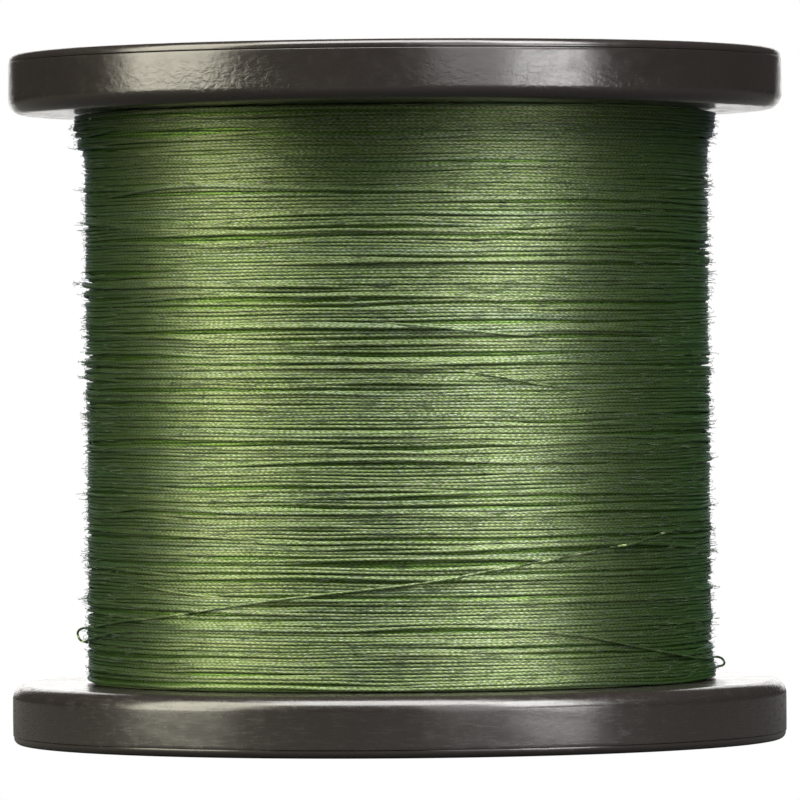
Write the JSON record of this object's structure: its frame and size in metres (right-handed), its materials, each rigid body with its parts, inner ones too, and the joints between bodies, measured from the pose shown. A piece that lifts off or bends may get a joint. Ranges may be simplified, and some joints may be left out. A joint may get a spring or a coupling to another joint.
{
  "type": "fishing line spool",
  "caption": "Flanged bulk spool wound with braided fishing line, with a spindle bore and drive holes, which stands on either end face.",
  "frame": {"origin": "centre of the lower end face, on the surface the spool stands on", "axes": "+Z along the spool's axis, from the lower flange to the upper one; +X through one of the drive holes"},
  "size_m": [0.1142, 0.1142, 0.1016],
  "materials": {
    "flange_plastic": "satin",
    "plate_plastic": "satin",
    "barrel_plastic": "satin",
    "arbor_cloth": "matte",
    "line_braid": "satin",
    "tail_paper": "matte",
    "label_paper": "satin"
  },
  "bodies": {
    "root": {"upper_flange": "flange_plastic", "lower_flange": "flange_plastic", "upper_end_plate": "plate_plastic", "lower_end_plate": "plate_plastic", "barrel": "barrel_plastic", "arbor_tape": "arbor_cloth", "line_winding": "line_braid", "line_tail": "line_braid", "tail_tape": "tail_paper", "upper_label": "label_paper", "lower_label": "label_paper"}
  },
  "joints": []
}
